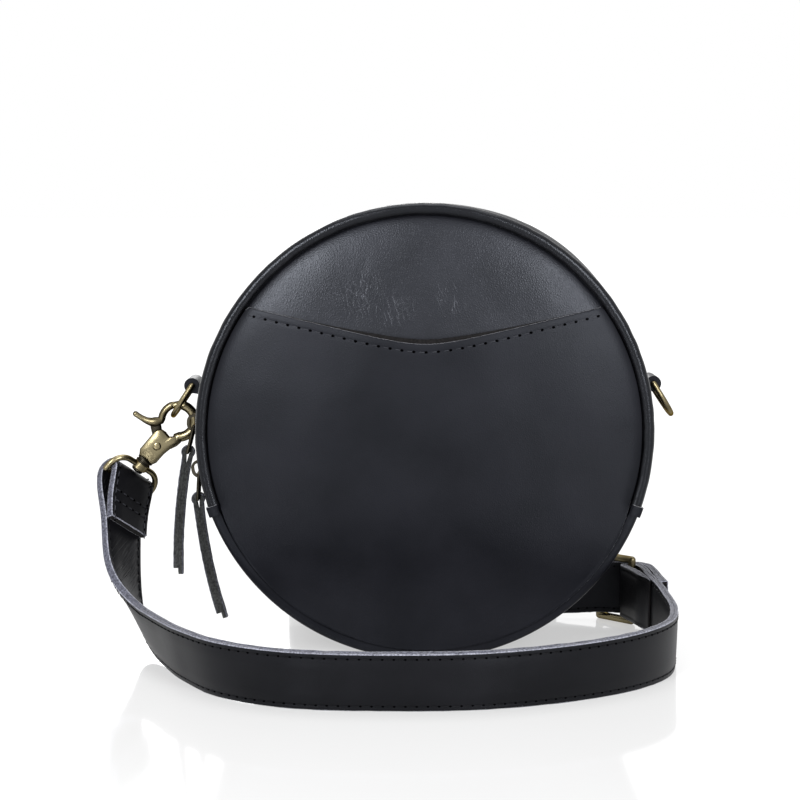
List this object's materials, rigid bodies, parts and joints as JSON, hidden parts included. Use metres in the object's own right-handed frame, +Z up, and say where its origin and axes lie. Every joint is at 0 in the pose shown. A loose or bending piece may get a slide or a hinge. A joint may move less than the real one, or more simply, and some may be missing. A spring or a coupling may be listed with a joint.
{
  "type": "circle bag",
  "caption": "Round leather shoulder bag with a zip over the top, a front slip pocket and a buckled strap that clips to D-rings with trigger hooks.",
  "frame": {"origin": "on the floor under the centre of the round body, at the flat of the foot", "axes": "+X to the right as seen from the front, +Y to the back, +Z up"},
  "size_m": [0.2679, 0.2755, 0.2015],
  "materials": {
    "body_leather": "smooth black leather with a soft sheen",
    "strap_leather": "smooth black leather with raw grey edges",
    "lining_cloth": "plain woven lining",
    "zip_tape": "woven zip tape",
    "dark_brass": "aged dark brass",
    "antique_brass": "antique brass, worn bright on the raised parts"
  },
  "bodies": {
    "bag": {"front_panel": "body_leather", "front_pocket": "body_leather", "back_panel": "body_leather", "front_piping": "body_leather", "back_piping": "body_leather", "front_binding": "body_leather", "back_binding": "body_leather", "bottom_gusset": "body_leather", "zip_gusset_front": "body_leather", "zip_gusset_back": "body_leather", "zip_end_tab_left": "body_leather", "zip_end_tab_right": "body_leather", "ring_tab_left": "body_leather", "ring_tab_right": "body_leather", "front_piping_cord": "lining_cloth", "back_piping_cord": "lining_cloth", "bottom_lining": "lining_cloth", "zip_lining_front": "lining_cloth", "zip_lining_back": "lining_cloth", "front_lining": "lining_cloth", "back_lining": "lining_cloth", "zip_tape_front": "zip_tape", "zip_tape_back": "zip_tape", "zip_teeth_front": "dark_brass", "zip_teeth_back": "dark_brass", "hook_left_eye": "antique_brass", "hook_rear_eye": "antique_brass", "buckle_frame": "antique_brass", "strap_front": "strap_leather", "strap_fold_left": "strap_leather", "strap_fold_buckle": "strap_leather", "strap_tip": "strap_leather", "strap_coil": "strap_leather", "strap_fold_rear": "strap_leather"},
    "zip_slider_upper": {"slider_upper": "antique_brass"},
    "upper_link": {"link_upper": "dark_brass"},
    "upper_pull": {"pull_thong_upper": "body_leather"},
    "zip_slider_lower": {"slider_lower": "antique_brass"},
    "lower_link": {"link_lower": "dark_brass"},
    "lower_pull": {"pull_thong_lower": "body_leather"},
    "ring_left": {"d_ring_left": "antique_brass"},
    "ring_right": {"d_ring_right": "antique_brass"},
    "left_hook": {"hook_left_body": "antique_brass", "hook_left_rivet": "antique_brass", "hook_left_spring": "dark_brass"},
    "left_gate": {"hook_left_gate": "antique_brass"},
    "rear_hook": {"hook_rear_body": "antique_brass", "hook_rear_rivet": "antique_brass", "hook_rear_spring": "dark_brass"},
    "rear_gate": {"hook_rear_gate": "antique_brass"},
    "prong": {"buckle_prong": "antique_brass"}
  },
  "joints": [
    {"name": "zip_upper_travel", "type": "hinge", "parent": "bag", "child": "zip_slider_upper", "pos_m": [0, 0, 0.0995], "axis": [0, 1, 0], "range_deg": [0, 192]},
    {"name": "zip_lower_travel", "type": "hinge", "parent": "bag", "child": "zip_slider_lower", "pos_m": [0, 0, 0.0995], "axis": [0, -1, 0], "range_deg": [0, 2]},
    {"name": "upper_link_swing", "type": "hinge", "parent": "zip_slider_upper", "child": "upper_link", "pos_m": [-0.10551, 0, 0.09937], "axis": [0, 1, 0], "range_deg": [0, 6]},
    {"name": "upper_pull_swing", "type": "hinge", "parent": "upper_link", "child": "upper_pull", "pos_m": [-0.10842, 0, 0.08742], "axis": [0, 1, 0], "range_deg": [0, 5]},
    {"name": "lower_link_swing", "type": "hinge", "parent": "zip_slider_lower", "child": "lower_link", "pos_m": [-0.10329, 0, 0.07798], "axis": [0, 1, 0], "range_deg": [0, 9]},
    {"name": "lower_pull_swing", "type": "hinge", "parent": "lower_link", "child": "lower_pull", "pos_m": [-0.104, 0, 0.0657], "axis": [0, 1, 0], "range_deg": [0, 10]},
    {"name": "ring_left_swing", "type": "hinge", "parent": "bag", "child": "ring_left", "pos_m": [-0.1075, 0.0195, 0.117], "axis": [0, -1, 0], "range_deg": [0, 12]},
    {"name": "ring_right_swing", "type": "hinge", "parent": "bag", "child": "ring_right", "pos_m": [0.1065, 0.0195, 0.118], "axis": [0, -1, 0], "range_deg": [-25, 130]},
    {"name": "left_hook_swivel", "type": "hinge", "parent": "bag", "child": "left_hook", "pos_m": [-0.1149, 0.0195, 0.0996], "axis": [-0.6489, 0, -0.7609], "range_deg": [-8, 8]},
    {"name": "left_gate_press", "type": "hinge", "parent": "left_hook", "child": "left_gate", "pos_m": [-0.12489, 0.0195, 0.08788], "axis": [0, 1, 0], "range_deg": [0, 4], "stiffness_Nm_per_rad": 0.02, "springref_deg": -28.65},
    {"name": "rear_hook_swivel", "type": "hinge", "parent": "bag", "child": "rear_hook", "pos_m": [0.0425, 0.0935, 0.0156], "axis": [-1, 0, 0], "continuous": true},
    {"name": "rear_gate_press", "type": "hinge", "parent": "rear_hook", "child": "rear_gate", "pos_m": [0.0271, 0.0935, 0.0156], "axis": [0, 0, -1], "range_deg": [0, 10], "stiffness_Nm_per_rad": 0.02, "springref_deg": -28.65},
    {"name": "buckle_prong_swing", "type": "hinge", "parent": "bag", "child": "prong", "pos_m": [0.1, 0.032, 0.0165], "axis": [0, 0, -1], "range_deg": [0, 8]}
  ]
}
